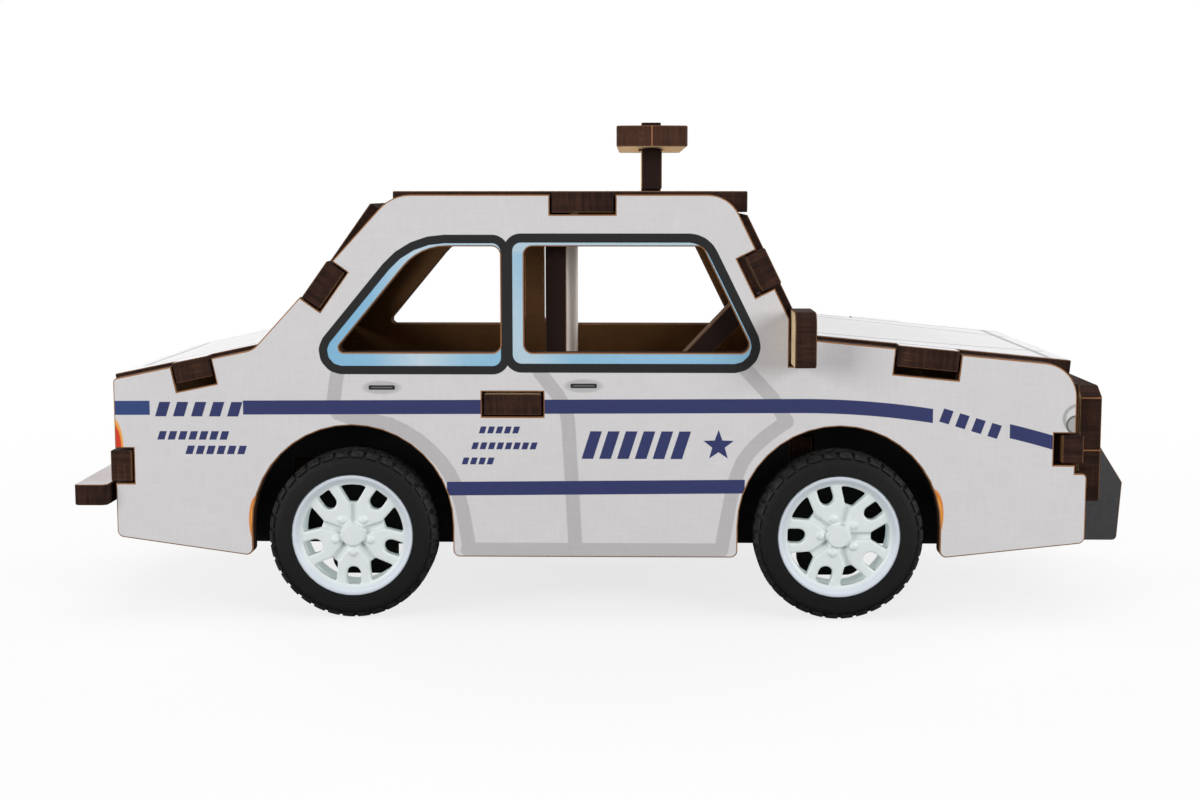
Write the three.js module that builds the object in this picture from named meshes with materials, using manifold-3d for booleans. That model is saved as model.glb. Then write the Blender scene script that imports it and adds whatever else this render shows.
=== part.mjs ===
// A patrol car cut from plywood: flat boards slotted together by tabs, rolling on two steel axles.
// Millimetres. X runs forward, Y to the car's left, Z up, and the ground is at Z = 0.
import * as THREE from 'three';
import { mergeVertices } from 'three/addons/utils/BufferGeometryUtils.js';
import Module from 'manifold-3d';

const wasm = await Module();
wasm.setup();

// Stock and fits
const board = 3;
const fitGap = 0.3;
const slotSlack = 1.2;
const boardProud = 0.5;
const windscreenProud = 1.2;
const backProud = 0.35;
const postProud = 1;
const tabProud = 0.2;
const bodyWidth = 60;

// Lengths along the car, in order from the side panels' rear edge
const bootLength = 23.05;
const rearPillar = 8.75;
const quarterWindow = 23.9;
const middlePillar = 3.4;
const frontWindow = 32.7;
const frontPillar = 5.3;
const bonnetLength = 37;
const noseLead = 1.3;

// Heights above the sill, and drops or rises from the window line
const beltHeight = 29.6;
const windowHeight = 15.1;
const headerDepth = 7.8;
const bootDrop = 3.35;
const bonnetRise = 2.3;
const rearBottomRise = 2.8;
const frontBottomRise = 2.3;

// Slopes in degrees
const bootAngle = 11.8;
const bonnetAngle = 5.5;
const windscreenRake = 63.8;
const backRake = 54.5;
const panelBackLay = 7;
const quarterLay = 4.2;

// Corner radii of the side panels and their windows
const bottomCorner = 1;
const fenderCorner = 5;
const roofFrontCorner = 5;
const roofRearCorner = 6;
const bootFillet = 3;
const edgeCorner = 0.7;
const windowCorner = 1.2;
const quarterCorner = 8;

// Tabs: where each starts along its board, and how long it is
const roofTabLead = 19.1;
const roofTab = 8.7;
const windscreenTabLead = 5.2;
const windscreenTab = 5.5;
const backTabLead = 7.6;
const backTab = 6.3;
const bootTabLead = 9.4;
const bootTab = 5.3;
const bonnetTabLead = 11.7;
const bonnetTab = 8.7;
const noseTabHeight = 13.9;
const noseTab = 4;
const tailTabHeight = 10.9;
const tailTab = 4.5;
const deckTabLead = 2.4;
const deckTab = 8.2;

// Windscreen and rear window
const windscreenLap = 1.8;
const windscreenLift = 1;
const windscreenFrame = 3.6;
const backFrame = 4.2;
const backTopDrop = 1.7;
const roofRearGap = 0.8;
const glassCorner = 1.5;

// Nose, grille and push bars
const noseBottom = 3;
const frontStepHeight = 12.4;
const frontStepBack = 1.1;
const frontLip = 0.6;
const grilleHeight = 16.6;
const grilleBottom = 7.9;
const grilleChamferAcross = 2.6;
const grilleChamferDown = 1.4;
const pushBarOffset = 15;
const pushBarReach = 5.7;
const pushBarHeight = 18;
const pushBarShoulder = 9;
const pushBarBottom = 0.2;
const pushBarToe = 0.6;
const pushBarTongue = 4;
const pushBarTongueHeight = 10.6;

// Tail and rear bumper
const tailProud = 0.6;
const tailBottom = 3.4;
const bumperTop = 10.6;
const bumperDepth = 4.8;
const bumperBow = 0.5;
const bumperOverhang = 1.5;
const bumperTongue = 24;
const bumperRearCorner = 0.8;

// Mirror board, partition and dash strut
const earHeight = 7.8;
const earRise = 3.9;
const earReach = 6.3;
const earCorner = 2.1;
const cowlDrop = 0.9;
const partitionLead = 2.9;
const partitionTab = 16;
const strutAngle = 46.7;
const strutWidth = 5;
const strutSetback = 18.2;

// Light bar on its post
const lightBarLength = 47;
const lightBarWidth = 10.3;
const lightBarCorner = 2.5;
const lightBarBow = 0.8;
const lightBarSetback = 13.6;
const postHeight = 6.4;
const postWidth = 36;
const postTab = 14;

// Chassis under the floor deck
const deckRise = 8.3;
const deckReach = 17;
const railInset = 11;
const railTab = 10;
const lobeWidth = 9.6;
const lobeDrop = 8;
const lobeCorner = 3.5;
const crossRearLead = 10.1;
const crossFrontLead = 5.9;
const crossTab = 6;
const crossTabRear = 3.2;
const crossTabFront = 7;
const crossBottom = 0.6;

// Wheels and axles
const tyreDiameter = 24.4;
const tyreWidth = 7;
const sidewallRound = 1.3;
const rimDiameter = 17.7;
const rimLip = 1.3;
const wheelBase = 70;
const rearOverhang = 34.2;
const sillDrop = 3.2;
const archGap = 2.3;
const archRise = 1.4;
const wheelProud = 0.8;
const axleDiameter = 2;
const axleRunningGap = 0.25;
const hubGap = 0.4;
const hubDiameter = 5;
const beadGap = 0.15;
const pressGap = 0.1;
const spokeCount = 5;
const spokeDepth = 1.8;
const spokeRecess = 0.7;
const spokeSlot = 2.1;
const spokeSlotInner = 4.7;
const spokeSlotOuter = 7.3;
const spokeGapInner = 4.7;
const spokeGapOuter = 7.3;
const spokeGapNarrow = 1.2;
const spokeGapWide = 4;
const webRecess = 0.5;
const webWidth = 1;
const capDiameter = 3.3;
const capHeight = 0.5;
const lugDiameter = 1;
const lugCircle = 5.2;
const lugHeight = 0.3;
const frontWheelTurn = 18;
const roundSides = 40;

// Finishes
const printWhite = '#dddbde';
const printTop = '#f0efee';
const printBlack = '#4a4a4d';
const rawPly = '#c9ac80';
const charredPly = '#4a3428';
const rimWhite = '#eef2f2';
const rubberBlack = '#1c1c1d';
const axleSteel = '#b9bcc0';

const rad = THREE.MathUtils.degToRad;
const arcStep = rad(9);
const tiny = 1e-5;

// A straight line in the side view, leaning up from the X axis, with its outer side on the left.
function sideLine(x, z, degrees) {
  const along = [Math.cos(rad(degrees)), Math.sin(rad(degrees))];
  return {
    degrees,
    zAt: (atX) => z + ((atX - x) * along[1]) / along[0],
    xAt: (atZ) => x + ((atZ - z) * along[0]) / along[1],
    inside: (depth) => sideLine(x + depth * along[1], z - depth * along[0], degrees),
    meet(other) {
      const slope = along[1] / along[0];
      const otherSlope = Math.tan(rad(other.degrees));
      const meetX = (other.zAt(0) - (z - slope * x)) / (slope - otherSlope);
      return [meetX, z + slope * (meetX - x)];
    },
  };
}

// Points of an arc, by angle in degrees.
function arc(x, y, radius, from, to) {
  const steps = Math.ceil(Math.abs(rad(to - from)) / arcStep);
  const points = [];
  for (let i = 0; i <= steps; i += 1) {
    const angle = rad(from + ((to - from) * i) / steps);
    points.push([x + radius * Math.cos(angle), y + radius * Math.sin(angle)]);
  }
  return points;
}

// A closed outline through corners of [x, y, radius], each corner rounded by its own radius.
function roundedLoop(corners) {
  const count = corners.length;
  const points = [];
  corners.forEach(([x, y, radius = 0], i) => {
    const corner = new THREE.Vector2(x, y);
    const back = new THREE.Vector2(...corners[(i + count - 1) % count].slice(0, 2)).sub(corner);
    const ahead = new THREE.Vector2(...corners[(i + 1) % count].slice(0, 2)).sub(corner);
    const wall = Math.min(back.length(), ahead.length()) / 2;
    back.normalize();
    ahead.normalize();
    const half = Math.acos(THREE.MathUtils.clamp(back.dot(ahead), -1, 1)) / 2;
    const reach = Math.min(radius / Math.tan(half), wall);
    if (reach < tiny) {
      points.push(corner);
      return;
    }
    const centre = back.clone().add(ahead).setLength(reach / Math.cos(half)).add(corner);
    const start = back.clone().multiplyScalar(reach).add(corner).sub(centre);
    const end = ahead.clone().multiplyScalar(reach).add(corner).sub(centre);
    const sweep = Math.atan2(start.cross(end), start.dot(end));
    const steps = Math.max(1, Math.ceil(Math.abs(sweep) / arcStep));
    for (let k = 0; k <= steps; k += 1) {
      points.push(start.clone().rotateAround(new THREE.Vector2(), (sweep * k) / steps).add(centre));
    }
  });
  return points.filter((point, i) => point.distanceTo(points[(i + 1) % points.length]) > tiny);
}

// The space inside an outline, from one level up to another.
function prism(corners, bottom, top) {
  const shape = new THREE.Shape(roundedLoop(corners));
  const geometry = new THREE.ExtrudeGeometry(shape, { depth: top - bottom, bevelEnabled: false });
  return geometry.translate(0, 0, bottom);
}

// A flat board of the given outline and holes, lying on Z = 0.
function sheet(corners, holes = [], thickness = board) {
  let solid = toSolid(prism(corners, 0, thickness));
  holes.forEach((hole) => {
    solid = solid.subtract(toSolid(prism(hole, -thickness, 2 * thickness)));
  });
  return toGeometry(solid);
}

function toSolid(geometry) {
  const bare = geometry.clone();
  bare.deleteAttribute('normal');
  bare.deleteAttribute('uv');
  const merged = mergeVertices(bare, tiny * 10);
  const mesh = new wasm.Mesh({
    numProp: 3,
    vertProperties: new Float32Array(merged.attributes.position.array),
    triVerts: new Uint32Array(merged.index.array),
  });
  return new wasm.Manifold(mesh);
}

function toGeometry(solid) {
  const mesh = solid.getMesh();
  const geometry = new THREE.BufferGeometry();
  geometry.setAttribute('position', new THREE.BufferAttribute(mesh.vertProperties, 3));
  geometry.setIndex(new THREE.BufferAttribute(mesh.triVerts, 1));
  geometry.computeVertexNormals();
  return geometry;
}

function piece(name, geometry, color, roughness = 0.65, metalness = 0) {
  const mesh = new THREE.Mesh(geometry, new THREE.MeshStandardMaterial({ color, roughness, metalness }));
  mesh.name = name;
  return mesh;
}

// A board lying across the car. Its plan runs along the side view from its start, at its angle,
// and its outer face passes through the start.
function crossBoard(name, color, place, corners, holes = []) {
  const geometry = sheet(corners, holes).translate(0, 0, -board);
  const mesh = piece(name, geometry, color);
  mesh.position.set(place.start[0], place.y ?? 0, place.start[1]);
  mesh.rotation.y = -rad(place.angle);
  return mesh;
}

// A board standing along the car, drawn in the side view, with its left face at the given Y.
function uprightBoard(corners, holes, leftFace) {
  return sheet(corners, holes).rotateX(Math.PI / 2).translate(0, leftFace, 0);
}

// A rectangle as corners, from two opposite corner points.
function rectangle(x0, y0, x1, y1, radius = 0) {
  return [[x0, y0, radius], [x1, y0, radius], [x1, y1, radius], [x0, y1, radius]];
}

// Stations along the car, from the rear edge of the side panels
const quarterX = bootLength + rearPillar;
const pillarX = quarterX + quarterWindow;
const frontWindowX = pillarX + middlePillar;
const frontWindowEnd = frontWindowX + frontWindow;
const cowlX = frontWindowEnd + frontPillar;
const bonnetX = cowlX + board + 2 * fitGap;
const bonnetFrontX = bonnetX + bonnetLength * Math.cos(rad(bonnetAngle));
const noseX = bonnetFrontX + noseLead;
const rearAxleX = rearOverhang;
const frontAxleX = rearOverhang + wheelBase;

// Levels above the sill
const roofTop = beltHeight + windowHeight + headerDepth;
const roofUnder = roofTop - board;
const bonnetZ = beltHeight + bonnetRise;
const axleZ = sillDrop;
const tyreRadius = tyreDiameter / 2;
const deckTop = axleZ + tyreRadius + deckRise;
const deckUnder = deckTop - board;
const earTop = bonnetZ + earRise;
const grilleTop = grilleBottom + grilleHeight;

// Widths across the car, from its middle
const halfWidth = bodyWidth / 2;
const innerHalf = halfWidth - board - fitGap;
const tabHalf = halfWidth + tabProud;
const railOuter = halfWidth - railInset;
const railMiddle = railOuter - board / 2;
const wheelMiddle = halfWidth + wheelProud - tyreWidth / 2;

// Outer faces of the sloping boards in the side view
const bootFace = sideLine(0, beltHeight - bootDrop, bootAngle);
const bonnetFace = sideLine(bonnetX, bonnetZ, -bonnetAngle);
const windscreenFoot = [cowlX + windscreenLap, bonnetZ + windscreenLift];
const windscreenFace = sideLine(...windscreenFoot, -windscreenRake);
const backFoot = [bootLength, bootFace.zAt(bootLength) + fitGap];
const backFace = sideLine(...backFoot, backRake);

// A board's own length between two levels on its face
function runBetween(low, high, degrees) {
  return (high - low) / Math.sin(rad(degrees));
}

const windscreenTop = roofUnder - fitGap;
const windscreenRun = runBetween(windscreenFoot[1], windscreenTop, windscreenRake);
const backTop = roofTop - backTopDrop;
const backRun = runBetween(backFoot[1], backTop, backRake);
const roofFrontX = windscreenFace.xAt(windscreenTop);
const roofRearX = backFace.xAt(backTop) + board * Math.sin(rad(backRake)) + roofRearGap;
const bootLidRun = bootLength / Math.cos(rad(bootAngle));
const bonnetUnderNose = bonnetFace.zAt(noseX) - board / Math.cos(rad(bonnetAngle));
const noseTop = bonnetUnderNose - fitGap;
const tailTop = bootFace.zAt(-tailProud) - board / Math.cos(rad(bootAngle)) - fitGap;

// Boards held by one tab at each side, with the slot that each tab takes in the side panels
const tabbed = {
  roof: {
    start: [roofRearX, roofTop],
    angle: 0,
    run: roofFrontX - roofRearX,
    tabAt: roofFrontX - roofRearX - roofTabLead - roofTab,
    tab: roofTab,
    slack: fitGap,
  },
  windscreen: {
    start: [roofFrontX, windscreenTop],
    angle: -windscreenRake,
    run: windscreenRun,
    tabAt: windscreenTabLead,
    tab: windscreenTab,
    slack: slotSlack,
  },
  back: {
    start: backFoot,
    angle: backRake,
    run: backRun,
    tabAt: backTabLead,
    tab: backTab,
    slack: fitGap,
  },
  boot: {
    start: [-tailProud, bootFace.zAt(-tailProud)],
    angle: bootAngle,
    run: bootLidRun - fitGap,
    tabAt: bootTabLead,
    tab: bootTab,
    slack: slotSlack,
  },
  bonnet: {
    start: [bonnetX, bonnetZ],
    angle: -bonnetAngle,
    run: bonnetLength,
    tabAt: bonnetTabLead,
    tab: bonnetTab,
    slack: slotSlack,
  },
  nose: {
    start: [noseX, noseTop],
    angle: -90,
    run: noseTop - noseBottom,
    tabAt: noseTop - noseTabHeight - noseTab,
    tab: noseTab,
    slack: slotSlack,
  },
  tail: {
    start: [-tailProud, tailBottom],
    angle: 90,
    run: tailTop - tailBottom,
    tabAt: tailTabHeight - tailBottom,
    tab: tailTab,
    slack: fitGap,
  },
  deck: {
    start: [rearAxleX - deckReach, deckTop],
    angle: 0,
    run: wheelBase + 2 * deckReach,
    tabAt: pillarX - deckTabLead - (rearAxleX - deckReach),
    tab: deckTab,
    slack: fitGap,
    closed: true,
  },
};

function tabbedPlan({ run, tabAt, tab }) {
  const tabEnd = tabAt + tab;
  const right = [
    [0, -innerHalf],
    [tabAt, -innerHalf],
    [tabAt, -tabHalf],
    [tabEnd, -tabHalf],
    [tabEnd, -innerHalf],
    [run, -innerHalf],
  ];
  const left = right.map(([u, v]) => [u, -v]).reverse();
  return [...right, ...left];
}

// The space that a tab takes in the side panels, open past the edge unless the slot is closed.
function tabSlot({ start, angle, tabAt, tab, slack, closed }) {
  const outward = closed ? fitGap : board;
  const height = board + slack + outward;
  const slot = new THREE.BoxGeometry(tab + 2 * fitGap, 2 * bodyWidth, height);
  slot.translate(tabAt + tab / 2, 0, outward - height / 2);
  slot.rotateY(-rad(angle));
  return slot.translate(start[0], 0, start[1]);
}

// Side panels: the car's profile with two windows, wheel arches and the slots for the cross boards
const archRadius = tyreRadius + archGap;
const archZ = axleZ + archRise;

function archCorners(axleX) {
  return [
    [axleX - archRadius, 0, bottomCorner],
    ...arc(axleX, archZ, archRadius, 180, 0),
    [axleX + archRadius, 0, bottomCorner],
  ];
}

const roofEdge = roofTop - boardProud;
const bootEdge = bootFace.inside(boardProud);
const bonnetEdge = bonnetFace.inside(boardProud);
const windscreenEdge = windscreenFace.inside(windscreenProud);
const backMiddle = backFoot[1] + (backTop - backFoot[1]) / 2;
const backInside = backFace.inside(backProud);
const backEdge = sideLine(backInside.xAt(backMiddle), backMiddle, backRake - panelBackLay);
const upperFrontX = noseX - frontStepBack;

const panelOutline = [
  [0, rearBottomRise, bottomCorner],
  ...archCorners(rearAxleX),
  ...archCorners(frontAxleX),
  [noseX + frontLip, frontBottomRise, bottomCorner],
  [noseX + frontLip, frontStepHeight, edgeCorner],
  [upperFrontX, frontStepHeight],
  [upperFrontX, bonnetEdge.zAt(upperFrontX), fenderCorner],
  windscreenEdge.meet(bonnetEdge),
  [windscreenEdge.xAt(roofEdge), roofEdge, roofFrontCorner],
  [backEdge.xAt(roofEdge), roofEdge, roofRearCorner],
  [...backEdge.meet(bootEdge), bootFillet],
  [0, bootEdge.zAt(0), edgeCorner],
];

const windowTop = beltHeight + windowHeight;
const quarterLean = windowHeight / Math.tan(rad(backRake - quarterLay));
const screenLean = windowHeight / Math.tan(rad(windscreenRake));
const quarterHole = [
  [quarterX, beltHeight, edgeCorner],
  [pillarX, beltHeight, windowCorner],
  [pillarX, windowTop, windowCorner],
  [quarterX + quarterLean, windowTop, quarterCorner],
];
const frontHole = [
  [frontWindowX, beltHeight, windowCorner],
  [frontWindowEnd, beltHeight, windowCorner],
  [frontWindowEnd - screenLean, windowTop, windowCorner],
  [frontWindowX, windowTop, windowCorner],
];

const earSlot = new THREE.BoxGeometry(board + 2 * fitGap, 2 * bodyWidth, earHeight + 2 * board);
earSlot.translate(cowlX + board / 2, 0, earTop - earHeight - fitGap + earHeight / 2 + board);

function sidePanel(name, leftFace) {
  let solid = toSolid(uprightBoard(panelOutline, [quarterHole, frontHole], leftFace));
  Object.values(tabbed).forEach((place) => {
    solid = solid.subtract(toSolid(tabSlot(place)));
  });
  return piece(name, toGeometry(solid.subtract(toSolid(earSlot))), printWhite);
}

// Windscreen and rear window: frames round one wide opening
function framedBoard(name, place, frame) {
  const open = rectangle(frame, frame - innerHalf, place.run - frame, innerHalf - frame, glassCorner);
  return crossBoard(name, printTop, place, tabbedPlan(place), [open]);
}

// Light bar, held on the roof by an upright post whose tabs pass through both boards
const postX = roofFrontX - lightBarSetback;
const postSlot = [board / 2 + fitGap, postTab / 2 + fitGap];
const barUnder = roofTop + postHeight;

function slotAt(u, v, halfU, halfV) {
  return rectangle(u - halfU, v - halfV, u + halfU, v + halfV);
}

// A board's end, bowed out towards the given side
function bowedEnd(from, to, level, bow) {
  const steps = 8;
  const points = [];
  for (let i = 1; i < steps; i += 1) {
    const t = i / steps;
    points.push([from + (to - from) * t, level + bow * 4 * t * (1 - t)]);
  }
  return points;
}

function lightBar() {
  const half = lightBarLength / 2 - lightBarBow;
  const corners = [
    [0, -half, lightBarCorner],
    ...bowedEnd(0, lightBarWidth, -half, -lightBarBow),
    [lightBarWidth, -half, lightBarCorner],
    [lightBarWidth, half, lightBarCorner],
    ...bowedEnd(lightBarWidth, 0, half, lightBarBow),
    [0, half, lightBarCorner],
  ];
  const place = { start: [postX - lightBarWidth / 2, barUnder + board], angle: 0 };
  return crossBoard('light_bar', charredPly, place, corners, [slotAt(lightBarWidth / 2, 0, ...postSlot)]);
}

function lightBarPost() {
  const run = postHeight - 2 * fitGap;
  const foot = -fitGap - board;
  const head = run + fitGap + board + postProud;
  const corners = [
    [0, -postWidth / 2],
    [0, -postTab / 2],
    [foot, -postTab / 2],
    [foot, postTab / 2],
    [0, postTab / 2],
    [0, postWidth / 2],
    [run, postWidth / 2],
    [run, postTab / 2],
    [head, postTab / 2],
    [head, -postTab / 2],
    [run, -postTab / 2],
    [run, -postWidth / 2],
  ];
  const place = { start: [postX - board / 2, roofTop + fitGap], angle: 90 };
  return crossBoard('light_bar_post', charredPly, place, corners.reverse());
}

// Nose, grille and the two push bars, whose tongues pass through both boards
const grilleBack = noseX + fitGap;
const grilleFace = grilleBack + board;
const tongueSlot = [pushBarTongue / 2 + fitGap, board / 2 + fitGap];
const tongueMiddle = pushBarTongueHeight + pushBarTongue / 2;

function tongueSlots(top) {
  return [-pushBarOffset, pushBarOffset].map((y) => slotAt(top - tongueMiddle, y, ...tongueSlot));
}

function grillePlate() {
  const corners = [
    [0, grilleChamferAcross - innerHalf],
    [grilleChamferDown, -innerHalf],
    [grilleHeight, -innerHalf],
    [grilleHeight, innerHalf],
    [grilleChamferDown, innerHalf],
    [0, innerHalf - grilleChamferAcross],
  ];
  const place = { start: [grilleFace, grilleTop], angle: -90 };
  return crossBoard('grille_plate', printTop, place, corners, tongueSlots(grilleTop));
}

function pushBar(name, y) {
  const back = grilleFace + fitGap;
  const front = grilleFace + fitGap + pushBarReach;
  const tongueEnd = noseX - board - fitGap;
  const tongueTop = pushBarTongueHeight + pushBarTongue;
  const hook = grilleBottom - fitGap;
  const corners = [
    [grilleBack, pushBarBottom],
    [front - pushBarToe, pushBarBottom, edgeCorner],
    [front, pushBarShoulder],
    [back, pushBarHeight],
    [back, tongueTop],
    [tongueEnd, tongueTop],
    [tongueEnd, pushBarTongueHeight],
    [back, pushBarTongueHeight],
    [back, hook],
    [grilleBack, hook],
  ];
  return piece(name, uprightBoard(corners, [], y + board / 2), printBlack);
}

// Tail and rear bumper, whose tongue passes through the tail
const bumperFrontX = -tailProud - fitGap;
const bumperBackX = bumperFrontX - bumperDepth;

function tailPanel() {
  const slotMiddle = bumperTop - board / 2 - tailBottom;
  const slot = slotAt(slotMiddle, 0, board / 2 + fitGap, bumperTongue / 2 + fitGap);
  return crossBoard('tail_panel', printWhite, tabbed.tail, tabbedPlan(tabbed.tail), [slot]);
}

function rearBumper() {
  const half = halfWidth + bumperOverhang;
  const tongueEnd = bumperDepth + fitGap + board;
  const bow = bowedEnd(half, -half, 0, -bumperBow).map(([v, u]) => [u, v]);
  const corners = [
    [0, -half, bumperRearCorner],
    [bumperDepth, -half, bottomCorner],
    [bumperDepth, -bumperTongue / 2],
    [tongueEnd, -bumperTongue / 2],
    [tongueEnd, bumperTongue / 2],
    [bumperDepth, bumperTongue / 2],
    [bumperDepth, half, bottomCorner],
    [0, half, bumperRearCorner],
    ...bow,
  ];
  return crossBoard('rear_bumper', printTop, { start: [bumperBackX, bumperTop], angle: 0 }, corners);
}

// Mirror board: one board across the cowl, with an ear through each side panel
function mirrorBoard() {
  const ear = halfWidth + earReach;
  const shoulder = innerHalf + fitGap;
  const middle = earTop - (bonnetZ - cowlDrop);
  const bottom = earTop - deckTop - fitGap;
  const right = [
    [middle, -shoulder],
    [0, -shoulder],
    [0, -ear, earCorner],
    [earHeight, -ear, edgeCorner],
    [earHeight, -innerHalf],
    [bottom, -innerHalf],
  ];
  const left = right.map(([u, v, radius]) => [u, -v, radius]).reverse();
  const place = { start: [cowlX + board, earTop], angle: -90 };
  return crossBoard('mirror_board', charredPly, place, [...right, ...left].reverse());
}

// Partition behind the front seats, standing in a slot of the deck
const partitionX = frontWindowX + partitionLead;

function partition() {
  const run = roofUnder - fitGap - deckTop - fitGap;
  const corners = [
    [0, -innerHalf],
    [run, -innerHalf, bottomCorner],
    [run, innerHalf, bottomCorner],
    [0, innerHalf],
    [0, partitionTab / 2],
    [-fitGap - board, partitionTab / 2],
    [-fitGap - board, -partitionTab / 2],
    [0, -partitionTab / 2],
  ];
  return crossBoard('partition', rawPly, { start: [partitionX, deckTop + fitGap], angle: 90 }, corners);
}

// Dash strut: a narrow strip leaning from the deck up to the back of the windscreen
function dashStrut() {
  const lean = rad(strutAngle);
  const footZ = deckTop + fitGap + board * Math.cos(lean);
  const footX = cowlX - strutSetback;
  const underFootX = footX + board * Math.sin(lean);
  const underside = sideLine(underFootX, footZ - board * Math.cos(lean), strutAngle);
  const head = underside.meet(windscreenFace.inside(board + fitGap));
  const run = (head[0] - underFootX) / Math.cos(lean);
  const y = strutWidth / 2 - innerHalf;
  const plan = rectangle(0, -strutWidth / 2, run, strutWidth / 2);
  return crossBoard('dash_strut', charredPly, { start: [footX, footZ], angle: strutAngle, y }, plan);
}

// Floor deck, with slots for the rails' tabs and the partition
function floorDeck() {
  const place = tabbed.deck;
  const holes = [];
  [rearAxleX, frontAxleX].forEach((x) => {
    [-railMiddle, railMiddle].forEach((y) => {
      holes.push(slotAt(x - place.start[0], y, railTab / 2 + fitGap, board / 2 + fitGap));
    });
  });
  const partitionMiddle = partitionX + board / 2 - place.start[0];
  holes.push(slotAt(partitionMiddle, 0, board / 2 + fitGap, partitionTab / 2 + fitGap));
  return crossBoard('floor_deck', rawPly, place, tabbedPlan(place), holes);
}

// Chassis rails: they hang under the deck, and the axles run in their lobes
const crossPlates = [
  { name: 'rear_cross_plate', x: rearAxleX - crossRearLead, tabBottom: axleZ + crossTabRear },
  { name: 'front_cross_plate', x: frontAxleX - crossFrontLead, tabBottom: axleZ + crossTabFront },
];

function lobeCorners(axleX) {
  const half = lobeWidth / 2;
  const low = axleZ - lobeDrop;
  return [
    [axleX - half, 0],
    [axleX - half, low, lobeCorner],
    [axleX + half, low, lobeCorner],
    [axleX + half, 0],
  ];
}

function railTabCorners(axleX, top) {
  const half = railTab / 2;
  return [[axleX + half, top], [axleX + half, deckTop], [axleX - half, deckTop], [axleX - half, top]];
}

function chassisRail(name, y) {
  const top = deckUnder - fitGap;
  const corners = [
    [rearAxleX - deckReach, 0, bottomCorner],
    ...lobeCorners(rearAxleX),
    ...lobeCorners(frontAxleX),
    [frontAxleX + deckReach, 0, bottomCorner],
    [frontAxleX + deckReach, top, bottomCorner],
    ...railTabCorners(frontAxleX, top),
    ...railTabCorners(rearAxleX, top),
    [rearAxleX - deckReach, top, bottomCorner],
  ];
  const holes = [rearAxleX, frontAxleX].map((x) => arc(x, axleZ, axleDiameter / 2 + axleRunningGap, 0, 360));
  crossPlates.forEach(({ x, tabBottom }) => {
    holes.push(slotAt(x + board / 2, tabBottom + crossTab / 2, board / 2 + fitGap, crossTab / 2 + fitGap));
  });
  return piece(name, uprightBoard(corners, holes, y + board / 2), charredPly);
}

function crossPlate({ name, x, tabBottom }) {
  const half = railOuter - board - fitGap;
  const start = [x, crossBottom];
  const run = deckUnder - fitGap - crossBottom;
  const low = tabBottom - crossBottom;
  const right = [
    [0, -half],
    [low, -half],
    [low, -railOuter],
    [low + crossTab, -railOuter],
    [low + crossTab, -half],
    [run, -half],
  ];
  const left = right.map(([u, v]) => [u, -v]).reverse();
  return crossBoard(name, charredPly, { start, angle: 90 }, [...right, ...left]);
}

// Wheels: made with the axle along Z and the outer side towards +Z
function turned(profile) {
  const points = profile.map(([radius, z]) => new THREE.Vector2(radius, z));
  return new THREE.LatheGeometry([...points, points[0]], roundSides).rotateX(Math.PI / 2);
}

function disc(diameter, bottom, top, sides = roundSides / 2) {
  const geometry = new THREE.CylinderGeometry(diameter / 2, diameter / 2, top - bottom, sides);
  return geometry.rotateX(Math.PI / 2).translate(0, 0, (top + bottom) / 2);
}

const rimRadius = rimDiameter / 2;
const rimFace = tyreWidth / 2 - beadGap;
const hubBack = railOuter + hubGap - wheelMiddle;
const axleHalf = wheelMiddle + rimFace - spokeRecess - spokeDepth / 2;

function spokeHoles() {
  const holes = [];
  for (let i = 0; i < spokeCount; i += 1) {
    const turn = (2 * Math.PI * i) / spokeCount - Math.PI / 2;
    const across = new THREE.Vector2();
    const rotate = ([x, y]) => across.set(x, y).rotateAround(new THREE.Vector2(), turn).toArray();
    const slot = [
      [spokeSlotOuter, -spokeSlot / 2],
      [spokeSlotOuter, spokeSlot / 2],
      ...arc(spokeSlotInner + spokeSlot / 2, 0, spokeSlot / 2, 90, 270),
    ];
    const spread = THREE.MathUtils.radToDeg(Math.asin(spokeGapWide / 2 / spokeGapOuter));
    const between = Math.PI / spokeCount;
    const gap = [
      [spokeGapInner, -spokeGapNarrow / 2],
      ...arc(0, 0, spokeGapOuter, -spread, spread),
      [spokeGapInner, spokeGapNarrow / 2],
    ].map(([x, y]) => new THREE.Vector2(x, y).rotateAround(new THREE.Vector2(), between).toArray());
    holes.push(slot.map(rotate), gap.map(rotate));
  }
  return holes;
}

function rimGeometry() {
  const back = -rimFace;
  const inner = rimRadius - rimLip;
  const spokeTop = rimFace - spokeRecess;
  const barrel = [[inner, back], [rimRadius, back], [rimRadius, rimFace], [inner, rimFace]];
  const spokes = sheet(arc(0, 0, inner + rimLip / 2, 0, 360), spokeHoles(), spokeDepth);
  let solid = toSolid(turned(barrel)).add(toSolid(spokes.translate(0, 0, spokeTop - spokeDepth)));
  solid = solid.add(toSolid(disc(hubDiameter, hubBack, spokeTop - spokeDepth / 2)));
  for (let i = 0; i < spokeCount; i += 1) {
    const turn = (2 * Math.PI * (i + 0.5)) / spokeCount - Math.PI / 2;
    const web = new THREE.BoxGeometry(spokeGapInner + webWidth / 2, webWidth, 2 * webRecess);
    solid = solid.subtract(toSolid(web.translate(spokeGapInner / 2, 0, spokeTop).rotateZ(turn)));
  }
  solid = solid.add(toSolid(disc(capDiameter, spokeTop - spokeDepth / 2, spokeTop + capHeight)));
  for (let i = 0; i < spokeCount; i += 1) {
    const turn = (2 * Math.PI * i) / spokeCount - Math.PI / 2;
    const lug = disc(lugDiameter, spokeTop - spokeDepth / 2, spokeTop + lugHeight, 8);
    lug.translate((lugCircle / 2) * Math.cos(turn), (lugCircle / 2) * Math.sin(turn), 0);
    solid = solid.add(toSolid(lug));
  }
  const boreTop = axleHalf - wheelMiddle + pressGap;
  return toGeometry(solid.subtract(toSolid(disc(axleDiameter + 2 * pressGap, hubBack - board, boreTop))));
}

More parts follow.
